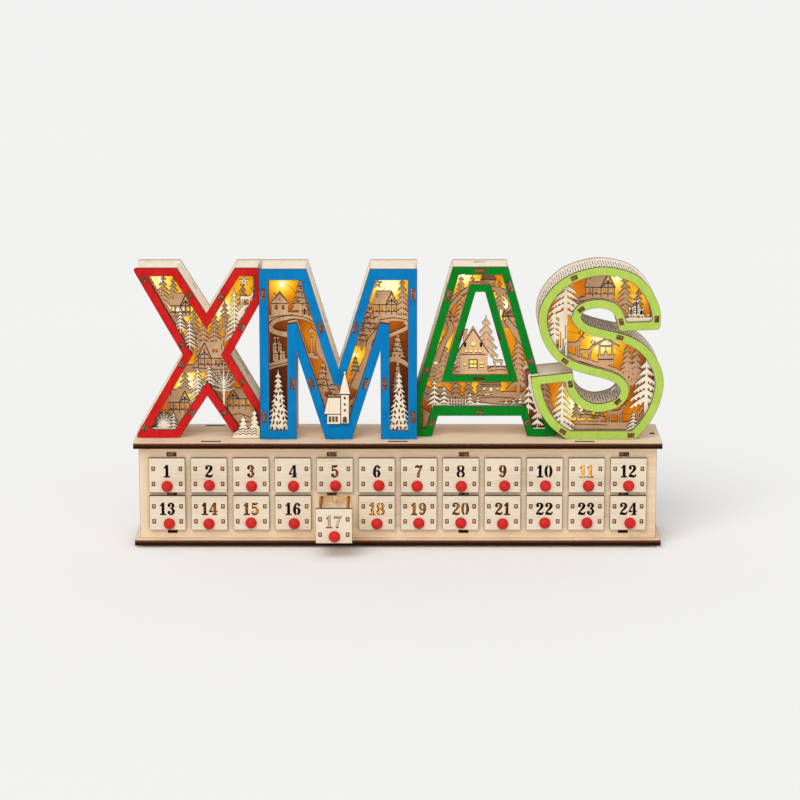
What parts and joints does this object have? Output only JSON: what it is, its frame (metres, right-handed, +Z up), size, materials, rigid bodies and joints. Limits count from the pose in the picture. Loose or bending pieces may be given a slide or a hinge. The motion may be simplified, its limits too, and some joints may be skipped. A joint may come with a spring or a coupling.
{
  "type": "advent calendar",
  "caption": "Wooden advent calendar: a long low case with two rows of small numbered drawers, carrying tall painted box letters with layered cut-out winter scenes lit from inside.",
  "frame": {"origin": "centre of the bounding box, on the floor plane under the felt feet", "axes": "+X to the right along the drawer rows, seen from the front; +Y from the drawer faces to the back; +Z up"},
  "size_m": [0.4666, 0.137, 0.2491],
  "materials": {
    "natural_ply": "raw, fine sanded",
    "pale_ply": "raw, fine sanded",
    "scene_ply": "raw, toned by the warm light",
    "red_paint": "painted, satin",
    "blue_paint": "painted, satin",
    "green_paint": "painted, satin",
    "lime_paint": "painted, satin",
    "felt": "pressed felt",
    "case_plastic": "fine texture",
    "switch_plastic": "fine texture"
  },
  "bodies": {
    "case": {"top_plate": "natural_ply", "bottom_plate": "natural_ply", "front_panel": "natural_ply", "back_panel": "natural_ply", "left_end_panel": "natural_ply", "right_end_panel": "natural_ply", "lower_shelf": "natural_ply", "drawer_grid": "natural_ply", "x_front_frame": "red_paint", "x_pale_fir_layer": "pale_ply", "x_scene_layer": "scene_ply", "x_strip_wall": "pale_ply", "x_back_board": "natural_ply", "m_front_frame": "blue_paint", "m_pale_fir_layer": "pale_ply", "m_scene_layer": "scene_ply", "m_strip_wall": "pale_ply", "m_back_board": "natural_ply", "a_front_frame": "green_paint", "a_pale_fir_layer": "pale_ply", "a_scene_layer": "scene_ply", "a_strip_wall": "pale_ply", "a_back_board": "natural_ply", "s_front_frame": "lime_paint", "s_pale_fir_layer": "pale_ply", "s_scene_layer": "scene_ply", "s_strip_wall": "pale_ply", "s_back_board": "natural_ply", "a_counter_frame": "green_paint", "felt_foot_front_left": "felt", "felt_foot_front_right": "felt", "felt_foot_back_left": "felt", "felt_foot_back_right": "felt", "battery_case": "case_plastic"},
    "drawer_01": {"drawer_01": "natural_ply"},
    "drawer_02": {"drawer_02": "natural_ply"},
    "drawer_03": {"drawer_03": "natural_ply"},
    "drawer_04": {"drawer_04": "natural_ply"},
    "drawer_05": {"drawer_05": "natural_ply"},
    "drawer_06": {"drawer_06": "natural_ply"},
    "drawer_07": {"drawer_07": "natural_ply"},
    "drawer_08": {"drawer_08": "natural_ply"},
    "drawer_09": {"drawer_09": "natural_ply"},
    "drawer_10": {"drawer_10": "natural_ply"},
    "drawer_11": {"drawer_11": "natural_ply"},
    "drawer_12": {"drawer_12": "natural_ply"},
    "drawer_13": {"drawer_13": "natural_ply"},
    "drawer_14": {"drawer_14": "natural_ply"},
    "drawer_15": {"drawer_15": "natural_ply"},
    "drawer_16": {"drawer_16": "natural_ply"},
    "drawer_17": {"drawer_17": "natural_ply"},
    "drawer_18": {"drawer_18": "natural_ply"},
    "drawer_19": {"drawer_19": "natural_ply"},
    "drawer_20": {"drawer_20": "natural_ply"},
    "drawer_21": {"drawer_21": "natural_ply"},
    "drawer_22": {"drawer_22": "natural_ply"},
    "drawer_23": {"drawer_23": "natural_ply"},
    "drawer_24": {"drawer_24": "natural_ply"},
    "battery_cover": {"battery_cover": "case_plastic"},
    "switch_slider": {"switch_slider": "switch_plastic"}
  },
  "joints": [
    {"name": "drawer_01_slide", "type": "slide", "parent": "case", "child": "drawer_01", "axis": [0, -1, 0], "range_m": [0, 0.0485]},
    {"name": "drawer_02_slide", "type": "slide", "parent": "case", "child": "drawer_02", "axis": [0, -1, 0], "range_m": [0, 0.0485]},
    {"name": "drawer_03_slide", "type": "slide", "parent": "case", "child": "drawer_03", "axis": [0, -1, 0], "range_m": [0, 0.0485]},
    {"name": "drawer_04_slide", "type": "slide", "parent": "case", "child": "drawer_04", "axis": [0, -1, 0], "range_m": [0, 0.0485]},
    {"name": "drawer_05_slide", "type": "slide", "parent": "case", "child": "drawer_05", "axis": [0, -1, 0], "range_m": [0, 0.0485]},
    {"name": "drawer_06_slide", "type": "slide", "parent": "case", "child": "drawer_06", "axis": [0, -1, 0], "range_m": [0, 0.0485]},
    {"name": "drawer_07_slide", "type": "slide", "parent": "case", "child": "drawer_07", "axis": [0, -1, 0], "range_m": [0, 0.0485]},
    {"name": "drawer_08_slide", "type": "slide", "parent": "case", "child": "drawer_08", "axis": [0, -1, 0], "range_m": [0, 0.0485]},
    {"name": "drawer_09_slide", "type": "slide", "parent": "case", "child": "drawer_09", "axis": [0, -1, 0], "range_m": [0, 0.0485]},
    {"name": "drawer_10_slide", "type": "slide", "parent": "case", "child": "drawer_10", "axis": [0, -1, 0], "range_m": [0, 0.0485]},
    {"name": "drawer_11_slide", "type": "slide", "parent": "case", "child": "drawer_11", "axis": [0, -1, 0], "range_m": [0, 0.0485]},
    {"name": "drawer_12_slide", "type": "slide", "parent": "case", "child": "drawer_12", "axis": [0, -1, 0], "range_m": [0, 0.0485]},
    {"name": "drawer_13_slide", "type": "slide", "parent": "case", "child": "drawer_13", "axis": [0, -1, 0], "range_m": [0, 0.0485]},
    {"name": "drawer_14_slide", "type": "slide", "parent": "case", "child": "drawer_14", "axis": [0, -1, 0], "range_m": [0, 0.0485]},
    {"name": "drawer_15_slide", "type": "slide", "parent": "case", "child": "drawer_15", "axis": [0, -1, 0], "range_m": [0, 0.0485]},
    {"name": "drawer_16_slide", "type": "slide", "parent": "case", "child": "drawer_16", "axis": [0, -1, 0], "range_m": [0, 0.0485]},
    {"name": "drawer_17_slide", "type": "slide", "parent": "case", "child": "drawer_17", "axis": [0, -1, 0], "range_m": [-0.045, 0.0035]},
    {"name": "drawer_18_slide", "type": "slide", "parent": "case", "child": "drawer_18", "axis": [0, -1, 0], "range_m": [0, 0.0485]},
    {"name": "drawer_19_slide", "type": "slide", "parent": "case", "child": "drawer_19", "axis": [0, -1, 0], "range_m": [0, 0.0485]},
    {"name": "drawer_20_slide", "type": "slide", "parent": "case", "child": "drawer_20", "axis": [0, -1, 0], "range_m": [0, 0.0485]},
    {"name": "drawer_21_slide", "type": "slide", "parent": "case", "child": "drawer_21", "axis": [0, -1, 0], "range_m": [0, 0.0485]},
    {"name": "drawer_22_slide", "type": "slide", "parent": "case", "child": "drawer_22", "axis": [0, -1, 0], "range_m": [0, 0.0485]},
    {"name": "drawer_23_slide", "type": "slide", "parent": "case", "child": "drawer_23", "axis": [0, -1, 0], "range_m": [0, 0.0485]},
    {"name": "drawer_24_slide", "type": "slide", "parent": "case", "child": "drawer_24", "axis": [0, -1, 0], "range_m": [0, 0.0485]},
    {"name": "battery_cover_slide", "type": "slide", "parent": "case", "child": "battery_cover", "axis": [1, 0, 0], "range_m": [0, 0.05]},
    {"name": "switch_slide", "type": "slide", "parent": "case", "child": "switch_slider", "axis": [1, 0, 0], "range_m": [0, 0.003]}
  ]
}
